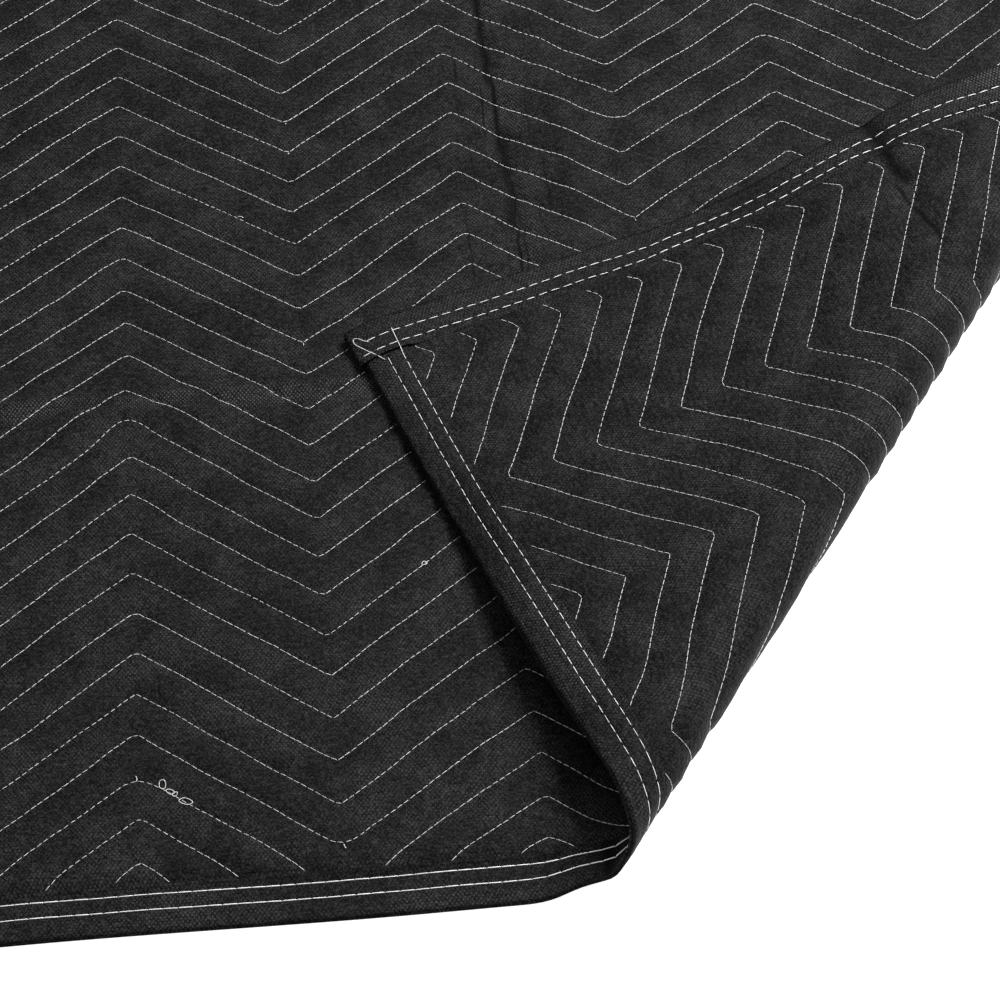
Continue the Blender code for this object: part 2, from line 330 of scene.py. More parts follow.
# %% [markdown]
# The quilt's mesh is a grid whose rows follow the zigzag, so each stitch line is an edge of it.
# A grid on plain squares would need ten times the faces to hold those slanting dips. It is fine
# where the eye comes close and coarse elsewhere. Both faces are made flat, trimmed with bisect,
# joined at the rim under the tape, and then every point is laid.

# %% A zigzag grid
# where the grid has a row, in mm from the stitch line in front of it, and where it has an extra
# column, in mm from each side edge
ROWS_FINE = (0, 2, 5, 10, 16.5, 23, 28, 31)
ROWS_MIDDLE = (0, 3, 11, 22, 30)
ROWS_COARSE = (0, 16.5)
EDGE_STEPS = (16, 27, 31, 36)
CREASE_STEP = 3.2 * MM
BACK_ROWS = 190 * MM


def select(*pieces):
    """Select these pieces and nothing else, with the first one active. With none, deselect all."""
    bpy.ops.object.select_all(action="DESELECT")
    for piece in pieces:
        piece.select_set(True)
    if pieces:
        bpy.context.view_layer.objects.active = pieces[0]


def edit_whole(piece, operator, **settings):
    """Run an edit operator on the whole mesh of a piece."""
    select(piece)
    bpy.ops.object.mode_set(mode="EDIT")
    bpy.ops.mesh.select_all(action="SELECT")
    operator(**settings)
    bpy.ops.object.mode_set(mode="OBJECT")


def read_points(piece):
    """The piece's points as an array."""
    points = np.empty(len(piece.data.vertices) * 3)
    piece.data.vertices.foreach_get("co", points)
    return points.reshape(-1, 3)


def write_points(piece, points):
    """Move the piece's points."""
    piece.data.vertices.foreach_set("co", np.asarray(points, float).ravel())
    piece.data.update()


def add_grid(name, across, along):
    """A grid primitive whose columns and rows stand at the given places."""
    select()
    bpy.ops.mesh.primitive_grid_add(x_subdivisions=len(across) - 1, y_subdivisions=len(along) - 1,
                                    size=1)
    piece = bpy.context.object
    piece.name = name
    piece.data.name = name
    points = read_points(piece)
    columns = np.rint((points[:, 0] + 0.5) * (len(across) - 1)).astype(int)
    rows = np.rint((points[:, 1] + 0.5) * (len(along) - 1)).astype(int)
    points[:, 0] = np.asarray(across)[columns]
    points[:, 1] = np.asarray(along)[rows]
    points[:, 2] = 0
    write_points(piece, points)
    return piece


def trim(piece, place, normal):
    """Cut the flat piece along a line and drop what lies beyond it."""
    edit_whole(piece, bpy.ops.mesh.bisect, plane_co=(*place, 0), plane_no=(*normal, 0),
               clear_outer=True, threshold=0.02 * MM)


def half_wave_columns(fine_from, fine_to, fine, coarse, extra=()):
    """Column places: each half wave cut into fine or coarse parts, and some extra ones."""
    columns = list(extra)
    for strip in range(-16, 1):
        start = LAST_PEAK + strip * HALF_WAVE
        parts = fine if fine_from <= start + HALF_WAVE / 2 <= fine_to else coarse
        columns += [start + HALF_WAVE * part / parts for part in range(parts)]
    return sorted(columns) + [LAST_PEAK + HALF_WAVE]


def line_rows(middle_from, coarse_from, middle):
    """Row places: each line gap cut at the given distances from its stitch line."""
    rows = []
    for line in range(-4, 56):
        start = FIRST_LINE + line * LINE_GAP
        offsets = ROWS_FINE if start < middle_from else middle
        if coarse_from <= start < PAD_DEPTH - BACK_ROWS:
            offsets = ROWS_COARSE
        rows += [start + offset * MM for offset in offsets]
    return rows + [FIRST_LINE + 56 * LINE_GAP]


def quilt_face(name, columns, rows):
    """One flat face of the quilt, its rows bent to the zigzag and its border trimmed."""
    piece = add_grid(name, columns, rows)
    points = read_points(piece)
    points[:, 1] += wave(points[:, 0])
    write_points(piece, points)
    trim(piece, (QUILT_INSET, 0), (-1, 0))
    trim(piece, (PAD_WIDTH - QUILT_INSET, 0), (1, 0))
    trim(piece, (0, QUILT_INSET), (0, -1))
    trim(piece, (0, PAD_DEPTH - QUILT_INSET), (0, 1))
    return piece


# %% Closing the rim
def run_round(point):
    """How far round the pad's border a border point lies, from the front left corner."""
    u, v = point.x, point.y
    sides = (v - QUILT_INSET, PAD_WIDTH - QUILT_INSET - u, PAD_DEPTH - QUILT_INSET - v,
             u - QUILT_INSET)
    side = min(range(4), key=lambda number: (abs(sides[number]) > 0.05 * MM, number))
    past_right = 2 * PAD_WIDTH + PAD_DEPTH
    return (u, PAD_WIDTH + v, past_right - u, past_right + PAD_DEPTH - v)[side]


def close_rim(piece):
    """Join the borders of the two faces with triangles, walking round both at once.

    Bridge Edge Loops pairs the points by count. The upper border has more points than the lower
    one, so its faces would cut across the bends of the fold.
    """
    mesh = bmesh.new()
    mesh.from_mesh(piece.data)
    border = {point for edge in mesh.edges if edge.is_boundary for point in edge.verts}
    upper = sorted((p for p in border if p.co.z > 0.5), key=lambda p: run_round(p.co))
    lower = sorted((p for p in border if p.co.z < 0.5), key=lambda p: run_round(p.co))
    once_round = 2 * (PAD_WIDTH + PAD_DEPTH)
    a, b = 0, 0
    while a < len(upper) or b < len(lower):
        here, under = upper[a % len(upper)], lower[b % len(lower)]
        next_upper = run_round(upper[a + 1].co) if a + 1 < len(upper) else math.inf
        next_lower = run_round(lower[b + 1].co) if b + 1 < len(lower) else once_round
        if b >= len(lower) or (a < len(upper) and next_upper <= next_lower):
            mesh.faces.new((here, under, upper[(a + 1) % len(upper)]))
            a += 1
        else:
            mesh.faces.new((under, lower[(b + 1) % len(lower)], here))
            b += 1
    mesh.to_mesh(piece.data)
    mesh.free()


# %% The quilt
def flat_map(piece, name, places):
    """A UV map that holds each point's place on the flat pad, in metres."""
    layers = piece.data.uv_layers
    layer = layers[0] if layers else layers.new(name=name)
    layer.name = name
    corners = np.empty(len(piece.data.loops), int)
    piece.data.loops.foreach_get("vertex_index", corners)
    layer.data.foreach_set("uv", places[corners].ravel())


def add_mark(piece, name, values):
    """Store a number with each point, for the material to read."""
    mark = piece.data.attributes.new(name, "FLOAT", "POINT")
    mark.data.foreach_set("value", np.asarray(values, float))


def make_quilt():
    """Both faces, joined at the rim and laid."""
    crease_columns = [CREASE_ACROSS + step * CREASE_STEP for step in range(-8, 19)]
    edge_columns = [place for step in EDGE_STEPS for place in (step * MM, PAD_WIDTH - step * MM)]
    columns = half_wave_columns(950 * MM, 1900 * MM, 16, 8, crease_columns + edge_columns)
    upper = quilt_face("quilt", columns, line_rows(700 * MM, 1000 * MM, ROWS_MIDDLE))
    columns = half_wave_columns(1400 * MM, PAD_WIDTH, 16, 4, edge_columns)
    lower = quilt_face("quilt_lower", columns, line_rows(700 * MM, 700 * MM, ROWS_COARSE))
    points = read_points(upper)
    points[:, 2] = 1
    write_points(upper, points)
    edit_whole(lower, bpy.ops.mesh.flip_normals)
    select(upper, lower)
    bpy.ops.object.join()
    close_rim(upper)
    edit_whole(upper, bpy.ops.mesh.quads_convert_to_tris, quad_method="BEAUTY",
               ngon_method="BEAUTY")
    points = read_points(upper)
    u, v, top = points[:, 0], points[:, 1], points[:, 2] > 0.5
    height = np.where(top, face_height(u, v, 1), face_height(u, v, -1))
    flat_map(upper, "pad_place", np.stack([u, v], axis=-1))
    # Strips along the storage creases where the weld dots get painted sheen.
    pressed_sheen = np.exp(-((v - CREASE_ALONG) / (11 * MM)) ** 4) * (1 - on_flap(u, v))
    near_crease = 0.5 * bump(u, CREASE_ACROSS, 30 * MM) * (1 - on_flap(u, v))
    add_mark(upper, "pressed_sheen", np.clip(pressed_sheen + near_crease, 0, 1))
    write_points(upper, lay(u, v, height))
    upper.data.shade_smooth()
    return upper


quilt = make_quilt()
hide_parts("quilted_panel")
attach(quilt, "root")
print("quilt", len(quilt.data.polygons), "triangles")

# %% [markdown]
# The binding is cut tape, folded over the raw edge and sewn through with two rows. It could be a
# box, but its face is drawn down at each row, stands up between them, and rides up on the quilt
# at its inner edge. Each tape starts as a grid: one way along the edge, the other way round the
# fold of the tape. The side tapes were sewn last, so their ends are pinched shut at the corners.

# %% The section of a tape
ROW_OUTER = 16 * MM
ROW_INNER = 27 * MM
ROW_DIP = 0.6 * MM
LEG_PLACES = (32.6, 32, 30.6, 29, 27.8, 27, 26.2, 24.5, 21.5, 18.5, 16.8, 16, 15.2, 13, 9.5, 6, 3.5)
NOSE_TURNS = (75, 45, 15)
PINCH = 4 * MM
ROW_REACH = 1.7 * MM
INNER_EDGE = 32.6 * MM


def tape_path(half):
    """Places round the folded tape: how far in from the edge, its height, and which face."""
    path = [(place * MM, half, 1) for place in LEG_PLACES]
    path += [(half * (1 - math.cos(math.radians(90 - t))), half * math.sin(math.radians(t)), 1)
             for t in NOSE_TURNS]
    return path + [(inward, -height, -1) for inward, height, _ in reversed(path)]


def edge_place(edge, run, inward):
    """The place on the pad of a point of a tape, by its run along the edge and distance in."""
    run, inward = np.broadcast_arrays(run, inward)
    return {"front": (run, inward), "back": (run, PAD_DEPTH - inward),
            "left": (inward, run), "right": (PAD_WIDTH - inward, run)}[edge]


def tape_height(tape, run, inward, height, side):
    """The height of the tape's cloth: drawn in at the rows, uneven, and clear of the quilt."""
    rows = bump(inward, ROW_OUTER, ROW_REACH) + bump(inward, ROW_INNER, ROW_REACH)
    leg = ease(inward, 2 * MM, 6 * MM)
    uneven = 0.4 * MM * swell(run, inward * 2 + side, 12 * MM, tape["seed"] + 1)
    height = height + side * leg * (uneven - ROW_DIP * rows + 0.25 * MM)
    u, v = edge_place(tape["edge"], run, inward)
    height = height * (1 + 0.35 * on_flap(u, v))
    middle = LOW_EDGE * (1 - on_flap(u, v))
    quilt_half = np.where(side > 0, face_height(u, v, 1) - middle, middle - face_height(u, v, -1))
    over_quilt = quilt_half + TAPE_CLOTH * (1 - 0.35 * ease(inward, 30 * MM, INNER_EDGE))
    to_end = np.minimum(run - tape["start"], tape["end"] - run)
    over_ends = np.maximum(over_quilt, side * height)
    over = over_ends + (over_quilt - over_ends) * ease(to_end, 36 * MM, 45 * MM)
    ride = ease(inward, 26 * MM, 30 * MM)
    height = height + side * ride * (over - side * height)
    if tape["pinched"]:
        height = height * np.sqrt(1 - np.clip(1 - to_end / PINCH, 0, 0.97) ** 2)
    return u, v, height + middle


# %% The four tapes
# close_up is the stretch that is seen from near, with finer steps. The last pair is painted sheen:
# how much lighter the weld dots are painted, at the near and at the far end.
END_TAPE = {"half": END_TAPE_HALF, "start": 1.5 * MM, "end": PAD_WIDTH - 1.5 * MM,
            "pinched": False, "close_up": (0, 0), "dot_sheen": (0.5, 0.5)}
SIDE_TAPE = {"half": SIDE_TAPE_HALF, "start": -1 * MM, "end": PAD_DEPTH + 1 * MM,
             "pinched": True, "close_up": (0, 0), "dot_sheen": (0.5, 0.5)}
TAPES = (
    {**END_TAPE, "edge": "front", "seed": 41, "close_up": (1050 * MM, PAD_WIDTH),
     "dot_sheen": (0.3, 0.3)},
    {**END_TAPE, "edge": "back", "seed": 43},
    {**SIDE_TAPE, "edge": "left", "seed": 45},
    {**SIDE_TAPE, "edge": "right", "seed": 47, "start": -4 * MM, "close_up": (0, 850 * MM),
     "dot_sheen": (0.3, 0.9)},
)
# where the painted sheen on the right tape's weld dots grows stronger
DOT_SHEEN_CHANGE = (428 * MM, 480 * MM)
LOWER_LEG = 100 * MM
CLOSE_STEP = 5 * MM
FAR_STEP = 16 * MM


def stations(tape):
    """Places along a tape, close together at its ends and where it is seen from near."""
    near_end = [0.2 * MM, 0.7 * MM, 1.5 * MM, 2.6 * MM, 4 * MM, 7 * MM]
    places = [tape["start"]] + [tape["start"] + step for step in near_end]
    while places[-1] < tape["end"] - 12 * MM:
        close = tape["close_up"][0] <= places[-1] <= tape["close_up"][1]
        places.append(places[-1] + (CLOSE_STEP if close else FAR_STEP))
    places = [place for place in places if place < tape["end"] - 9 * MM]
    return places + [tape["end"] - step for step in reversed(near_end)] + [tape["end"]]


def make_tape(tape):
    """One tape, laid along its edge and given the thickness of its cloth."""
    path = np.array(tape_path(tape["half"]))
    edge = tape["edge"]
    runs = stations(tape)
    piece = add_grid(edge + "_tape", runs, range(len(path)))
    points = read_points(piece)
    run = points[:, 0]
    inward, height, side = path[np.rint(points[:, 1]).astype(int)].T
    flat_map(piece, "tape_place", np.stack([run, inward + (side < 0) * LOWER_LEG], axis=-1))
    u, v, height = tape_height(tape, run, inward, height, side)
    write_points(piece, lay(u, v, height))
    crossing = GROOVE_PLACE if edge in ("left", "right") else CREASE_ACROSS
    # Painted shade where a storage crease crosses the tape.
    add_mark(piece, "painted_crease_shade", 0.9 * bump(run, crossing, 6 * MM))
    # How much painted sheen the weld dots of this tape get along it.
    near, far = tape["dot_sheen"]
    add_mark(piece, "pressed_sheen", near + (far - near) * ease(run, *DOT_SHEEN_CHANGE))
    if edge in ("front", "right"):
        edit_whole(piece, bpy.ops.mesh.flip_normals)
    select(piece)
    cloth = piece.modifiers.new("cloth", "SOLIDIFY")
    cloth.thickness = TAPE_CLOTH
    cloth.offset = -1
    bpy.ops.object.modifier_apply(modifier=cloth.name)
    points = read_points(piece)
    points[:, 2] = np.maximum(points[:, 2], LOWEST)
    write_points(piece, points)
    piece.data.shade_smooth()
    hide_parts(edge + "_binding")
    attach(piece, "root")
    print(piece.name, 2 * len(piece.data.polygons), "triangles")
    return piece


tapes = [make_tape(tape) for tape in TAPES]

# %% [markdown]
# Thread is what draws this pad. A quilting machine leaves one short bar of thread for each
# stitch, sunk into the cloth at both ends. One bar is modelled, a spindle with three sides, and
# copied along every row. A painted line would look flat and catch no light.

# %% One stitch
QUILT_PITCH = 5.25 * MM
QUILT_THREAD = 0.56 * MM
BOBBIN_THREAD = 0.48 * MM
RING_HALF = 0.87


def add_object(name, data):
    """Put a mesh, a curve, a light or a camera in the scene."""
    piece = bpy.data.objects.new(name, data)
    bpy.context.collection.objects.link(piece)
    return piece


def stitch_shape(full):
    """A stitch's points (along, across, up) and its triangles, from a cone primitive's ring."""
    select()
    bpy.ops.mesh.primitive_cone_add(vertices=3, radius1=1, depth=1, end_fill_type="NOTHING")
    cone = bpy.context.object
    ring = [p for p in read_points(cone) if p[2] < 0]
    bpy.data.objects.remove(cone)
    sections = (0.2, 0.8) if full else (0.5,)
    points = [(0.0, 0.0, -0.5)]
    for along in sections:
        points += [(along, 0.5 * p[0] / RING_HALF, 0.5 * p[1] + 0.15) for p in ring]
    points.append((1.0, 0.0, -0.5))
    last = len(points) - 1
    faces = [(0, 1 + (s + 1) % 3, 1 + s) for s in range(3)]
    if full:
        for s in range(3):
            a, b = 1 + s, 1 + (s + 1) % 3
            faces += [(a, b, b + 3), (a, b + 3, a + 3)]
    faces += [(last - 3 + s, last - 3 + (s + 1) % 3, last) for s in range(3)]
    return np.array(points), np.array(faces)


def sew(name, starts, ends, ups, width, full):
    """One mesh of many stitches, each from its start to its end with its up direction."""
    shape, faces = stitch_shape(full)
    along = ends - starts
    length = np.linalg.norm(along, axis=1, keepdims=True)
    side = np.cross(ups, along / length)
    side /= np.linalg.norm(side, axis=1, keepdims=True)
    width = np.broadcast_to(width, len(starts))[:, None, None]
    points = (starts[:, None] + shape[None, :, :1] * along[:, None]
              + shape[None, :, 1:2] * width * side[:, None]
              + shape[None, :, 2:] * width * ups[:, None])
    points[:, :, 2] = np.maximum(points[:, :, 2], LOWEST)
    triangles = faces[None] + (np.arange(len(starts)) * len(shape))[:, None, None]
    mesh = bpy.data.meshes.new(name)
    mesh.from_pydata(points.reshape(-1, 3), [], triangles.reshape(-1, 3))
    mesh.shade_smooth()
    piece = add_object(name, mesh)
    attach(piece, "root")
    print(name, len(starts), "stitches", len(mesh.polygons), "triangles")
    return piece


# %% [markdown]
# A row of stitches is walked at the stitch length. The thread tension varies along it, so in
# some stretches the stitches touch and read as one line, and in others the gaps show.

# %% The zigzag rows
ROW_LIMIT = 32.2 * MM
FRONT_SHARE = 0.47
# rows with some wide round turns, by row and face. The turns count left from the last peak.
ROUND_TURNS = {(0, 1): (-6,), (1, 1): (-5,), (14, 1): (-7,), (9, 1): (-6, -4), (20, 1): (-2, -3)}


def row_stitches(line, side):
    """The flat starts and ends of a row's stitches on one face."""
    rng = np.random.default_rng(500 + 2 * line + side)
    u = np.arange(ROW_LIMIT, PAD_WIDTH - ROW_LIMIT, 1 * MM)
    tips = rng.choice([0.5, 0.8, 1.2, 2], 18) * MM
    for turn in ROUND_TURNS.get((line, side), ()):
        tips[turn] = 11 * MM
    drift = 0.6 * MM * swell(u, u * 0 + line, 26 * MM, 600 + line)
    v = FIRST_LINE + line * LINE_GAP + wave(u, tips) + drift
    run = np.concatenate([[0], np.cumsum(np.hypot(np.diff(u), np.diff(v)))])
    begin = np.arange(rng.uniform(0, QUILT_PITCH), run[-1] - QUILT_PITCH, QUILT_PITCH)
    begin = begin + rng.uniform(-0.25, 0.25, len(begin)) * MM
    tight = swell(begin, begin * 0 + line, 150 * MM, 700 + line + 100 * side)
    share = np.clip(1.06 + 0.26 * tight + rng.uniform(-0.03, 0.03, len(begin)), 0.85, 1.08)
    finish = begin + QUILT_PITCH * share
    sideways = rng.uniform(-0.2, 0.2, (2, len(begin))) * MM
    ends = []
    for place, shift in zip((begin, finish), sideways):
        ends.append((np.interp(place, run, u), np.interp(place, run, v) + shift))
    inside = np.minimum(from_edge(*ends[0]), from_edge(*ends[1])) > ROW_LIMIT
    return [values[inside] for pair in ends for values in pair]


def stand_proud(u, v, height, side, proud, depth):
    """Places that stand proud of a face at this height, and the direction out of it."""
    place = lay(u, v, height + side * proud)
    out = place - lay(u, v, height - side * depth)
    return place, out / np.linalg.norm(out, axis=1, keepdims=True)


def zigzag_rows(side):
    """All the stitches of one face: starts, ends, ups and the flat places of the starts."""
    rows = [row_stitches(line, side) for line in range(-4, 56)]
    u0, v0, u1, v1 = (np.concatenate(values) for values in zip(*rows))
    starts, ups = stand_proud(u0, v0, face_height(u0, v0, side), side, 0.3 * MM, 4 * MM)
    ends, _ = stand_proud(u1, v1, face_height(u1, v1, side), side, 0.3 * MM, 4 * MM)
    return starts, ends, ups, u0, v0


def thread_widths(count, width, seed):
    """Widths that vary a little from stitch to stitch."""
    return width * np.random.default_rng(seed).uniform(0.85, 1.12, count)


zigzag_pieces = []
for side, thread, seed, names in ((1, QUILT_THREAD, 81, ("front", "back")),
                                  (-1, BOBBIN_THREAD, 82, ("flap", "floor"))):
    starts, ends, ups, u0, v0 = zigzag_rows(side)
    widths = thread_widths(len(starts), thread, seed)
    first = v0 < FRONT_SHARE * PAD_DEPTH if side > 0 else past_fold(u0, v0)[0] > -5 * MM
    for name, chosen in zip(names, (first, ~first)):
        zigzag_pieces.append(sew("zigzag_thread_" + name, starts[chosen], ends[chosen], ups[chosen],
                                 widths[chosen], name != "floor"))

# %% [markdown]
# Each tape is sewn down with two rows of heavier thread. They could lie on a plain offset of the
# tape, but then they would float over its dips. So each stitch asks the tape's own height. On the
# front tape the stitches overlap and read as one line, and elsewhere gaps show between them.

# %% The rows on the tapes
# each row by its tape and face: stitch pitch in mm, how much of it the thread fills, thread in mm
TAPE_ROWS = {("front", 1): (9.2, 1.3, 0.95), ("front", -1): (9.4, 0.95, 0.55),
             ("right", 1): (9.8, 0.9, 0.8), ("right", -1): (9.8, 0.86, 0.58)}
PLAIN_ROW = (9.2, 0.9, 0.9)
END_COVER = 33 * MM
SIDE_START = {ROW_OUTER: 5 * MM, ROW_INNER: -3 * MM}


def tape_stitches(tape, row, side):
    """The starts, ends, ups and widths of one row on one face of a tape."""
    pitch, share, thread = TAPE_ROWS.get((tape["edge"], side), PLAIN_ROW)
    pitch = pitch * MM
    rng = np.random.default_rng(tape["seed"] * 10 + round(row / MM) + side)
    hidden = SIDE_START[row] if tape["pinched"] else END_COVER
    first = max(tape["start"], 0) + hidden + rng.uniform(0, 3) * MM
    last = tape["end"] - hidden - pitch
    begin = np.arange(first, last, pitch)
    if tape["edge"] == "front":
        begin += last - begin[-1]
    begin = begin + rng.uniform(-0.3, 0.3, len(begin)) * MM
    finish = begin + pitch * (share + rng.uniform(-0.05, 0.05, len(begin)))
    ends = []
    for run in (begin, finish):
        inward = row + 0.5 * MM * swell(run, run * 0, 50 * MM, tape["seed"] + 5)
        u, v, height = tape_height(tape, run, inward, side * tape["half"], side)
        ends.append(stand_proud(u, v, height, side, 0.35 * MM, 2 * MM))
    width = thread_widths(len(begin), thread * MM, tape["seed"])
    return ends[0][0], ends[1][0], ends[0][1], width


tape_threads = []
for tape in TAPES:
    rows = [tape_stitches(tape, row, side) for row in (ROW_OUTER, ROW_INNER) for side in (1, -1)]
    starts, ends, ups, widths = (np.concatenate(values) for values in zip(*rows))
    tape_threads.append(sew(tape["edge"] + "_tape_thread", starts, ends, ups, widths, True))

# %% [markdown]
# A machine that starts or stops leaves tails. One thread loops back at the folded corner, one runs
# over the tape there, small loops stand on a row near the front, and some turns of the zigzag have
# a short end. Each is a curve through listed places, made a fine tube.

# %% Loose thread
LOOSE_THREAD = 0.5 * MM
CORNER_LOOP = ((2014, 9.2), (2017, 6), (2020, 4.2), (2022, 2.6), (2022.8, 0.8), (2021.8, -0.6),
               (2019.2, -0.9), (2016.4, 0), (2012, 2.4), (2006, 5.5), (2000.5, 9.2), (1994.5, 13))
OVERRUN = ((2021, 28.2), (2015, 27.8), (2007, 27.2), (1999, 27), (1995.5, 27))
# each loop: its middle, its half length and half width, in mm, and its turn in degrees
LOOPS = (
    (1239.2, 104.2, 2.2, 3.0, 15),
    (1243.8, 98.6, 2.8, 1.5, -35),
    (1246.6, 96.6, 1.8, 1.2, 20),
    (1253.0, 90.4, 4.2, 2.4, -25),
    (1419.3, 266.6, 1.7, 1.4, 0),
)
SHORT_ENDS = (
    ((1223, 108.8), (1223.4, 110.6), (1222.8, 112.4)),
    ((1350, 50.6), (1350.2, 48.8), (1350.9, 47)),
    ((1604, 574), (1604.4, 572.6), (1604, 570.6)),
    ((1350, 476), (1350.4, 474), (1350, 472)),
    ((1350.4, 707.4), (1351, 705.6), (1350.4, 703.8)),
    ((1350.2, 674.4), (1350.8, 673), (1350, 671.4)),
    ((1309, 609), (1311.2, 608.8), (1312.4, 606.6)),
    ((1241, 594.4), (1243.2, 594), (1244, 592)),
)


def rounded(points, closed, times=3):
    """Cut the corners of a run of points until it is smooth."""
    points = np.asarray(points, float)
    for _ in range(times):
        after = np.roll(points, -1, axis=0) if closed else points[1:]
        before = points if closed else points[:-1]
        cut = np.stack([before * 0.75 + after * 0.25, before * 0.25 + after * 0.75], axis=1)
        cut = cut.reshape(-1, points.shape[1])
        points = cut if closed else np.concatenate([points[:1], cut, points[-1:]])
    return points


def loose_thread(name, places, closed):
    """A fine tube through places in the room."""
    curve = bpy.data.curves.new(name, "CURVE")
    curve.dimensions = "3D"
    curve.bevel_depth = LOOSE_THREAD / 2
    curve.bevel_resolution = 1
    curve.use_fill_caps = not closed
    spline = curve.splines.new("POLY")
    spline.points.add(len(places) - 1)
    for point, place in zip(spline.points, places):
        point.co = (*place, 1)
    spline.use_cyclic_u = closed
    select(add_object(name, curve))
    bpy.ops.object.convert(target="MESH")
    return bpy.context.object


def on_corner(points):
    """Places on the folded corner's tapes, where the loose threads lie over each other."""
    points = rounded(points, False) * MM
    u, v = points.T
    arc = np.sin(np.linspace(0, math.pi, len(points)))
    step = np.where(u > PAD_WIDTH - TAPE_WIDTH, SIDE_TAPE_HALF + 0.9 * MM, END_TAPE_HALF + 1.5 * MM)
    return lay(u, v, -(np.convolve(np.pad(step, 3, mode="edge"), np.ones(7) / 7, "valid")
                       + 0.8 * MM * arc))


loose = [loose_thread("corner_loop", on_corner(CORNER_LOOP), False),
         loose_thread("corner_overrun", on_corner(OVERRUN), False)]
angle = np.linspace(0, 2 * math.pi, 24, endpoint=False)
for number, (at_u, at_v, half_long, half_wide, degrees) in enumerate(LOOPS):
    turn = math.radians(degrees)
    a = half_long * MM * np.cos(angle) * (1 + 0.15 * np.sin(2 * angle))
    b = half_wide * MM * np.sin(angle)
    u = at_u * MM + a * math.cos(turn) - b * math.sin(turn)
    v = at_v * MM + a * math.sin(turn) + b * math.cos(turn)
    lifted = face_height(u, v, 1) + 0.8 * MM + 0.3 * MM * np.sin(angle * 2 + number)
    loose.append(loose_thread("loop", lay(u, v, lifted), True))
for points in SHORT_ENDS:
    u, v = rounded(points, False).T * MM
    lifted = face_height(u, v, 1) + np.linspace(0.2, 1.6, len(u)) * MM
    loose.append(loose_thread("short_end", lay(u, v, lifted), False))
select(*loose)
bpy.ops.object.join()
loose_threads = bpy.context.object
loose_threads.name = "loose_threads"
loose_threads.data.shade_smooth()
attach(loose_threads, "root")
print("loose_threads", len(loose_threads.data.polygons), "faces")

# %% [markdown]
# The cloth is black spunbond nonwoven: polypropylene fibres laid at random and welded by a heated
# roller, whose dots stay as a faint relief. It is matt and slightly uneven in tone. Where storage
# pressing has left it a little shiny, the shine is painted sheen: the weld dots are coloured
# lighter there and in scattered patches. The thread is white polyester with a soft sheen.
# Single fibres are about 0.02 mm thick and far too fine to show, so the grain is drawn as coarse
# as it needs to be: clumps of 1.6 mm, and crinkles of 3 to 7 mm where they lie in bundles.

# %% Nodes and colours


def linear(hex_colour):
    """An sRGB hex colour as the linear values that a shader takes."""
    values = [int(hex_colour[i:i + 2], 16) / 255 for i in (1, 3, 5)]
    return tuple(c / 12.92 if c <= 0.04045 else ((c + 0.055) / 1.055) ** 2.4 for c in values) + (1,)


def add_node(tree, kind, *values, **named):
    """Add a node and give its first output.

    Plain values fill the inputs in use, in order. Names with a capital are inputs, others settings.
    """
    node = tree.nodes.new("ShaderNode" + kind)
    for key, value in named.items():
        if key.islower():
            setattr(node, key, value)
    inputs = [socket for socket in node.inputs if socket.enabled]
    pairs = list(zip(inputs, values))
    pairs += [(node.inputs[key], value) for key, value in named.items() if not key.islower()]
    for socket, value in pairs:
        if isinstance(value, bpy.types.NodeSocket):
            tree.links.new(value, socket)
        else:
            socket.default_value = value
    return next(socket for socket in node.outputs if socket.enabled)


def weigh(tree, parts):
    """The sum of some patterns, each times its weight."""
    total = 0.0
    for pattern, weight in parts:
        total = add_node(tree, "Math", pattern, weight, total, operation="MULTIPLY_ADD")
    return total


def new_material(name):
    """A material with its node tree and its shader."""
    material = bpy.data.materials.new(name)
    material.use_nodes = True
    return material, material.node_tree, material.node_tree.nodes["Principled BSDF"]


# %% Patterns on the flat cloth
DOT_ACROSS = 2.8 * MM
DOT_ALONG = 4 * MM
PUCKER_ACROSS = 6.667 * MM
PUCKER_ALONG = 14.29 * MM


def place_on(tree, map_name):
    """The place across and along the flat cloth, in metres."""
    place = add_node(tree, "UVMap", uv_map=map_name)
    parts = add_node(tree, "SeparateXYZ", place).node
    return parts.outputs[0], parts.outputs[1]


def weld_dots(tree, u, v):
    """The roller's weld dots, a staggered lattice: 1 in a dot, 0 between them."""
    turns_u = add_node(tree, "Math", u, 2 * math.pi / DOT_ACROSS, operation="MULTIPLY")
    turns_v = add_node(tree, "Math", v, 2 * math.pi / DOT_ALONG, operation="MULTIPLY")
    across = add_node(tree, "Math", turns_u, operation="COSINE")
    along = add_node(tree, "Math", turns_v, operation="COSINE")
    both = add_node(tree, "Math", across, along, operation="MULTIPLY")
    return add_node(tree, "MapRange", both, 0.15, 0.8)


def row_puckers(tree, u, v):
    """Fine puckers that run out from each zigzag row and fade away from it."""
    from_last = add_node(tree, "Math", u, LAST_PEAK, operation="SUBTRACT")
    from_peak = add_node(tree, "Math", from_last, HALF_WAVE, operation="PINGPONG")
    level = add_node(tree, "Math", from_peak, WAVE_RISE / HALF_WAVE, v, operation="MULTIPLY_ADD")
    level = add_node(tree, "Math", level, FIRST_LINE + WAVE_RISE, operation="SUBTRACT")
    near = add_node(tree, "Math", level, LINE_GAP / 2, operation="PINGPONG")
    fine_u = add_node(tree, "Math", u, 1 / PUCKER_ACROSS, operation="MULTIPLY")
    long_v = add_node(tree, "Math", level, 1 / PUCKER_ALONG, operation="MULTIPLY")
    noise = add_node(tree, "TexNoise", add_node(tree, "CombineXYZ", fine_u, long_v),
                     noise_dimensions="2D", Scale=1.0, Detail=2.0, Roughness=0.55)
    closeness = add_node(tree, "MapRange", near, 11 * MM, 1 * MM, 0.12, 1.0)
    return add_node(tree, "Math", noise, closeness, operation="MULTIPLY")
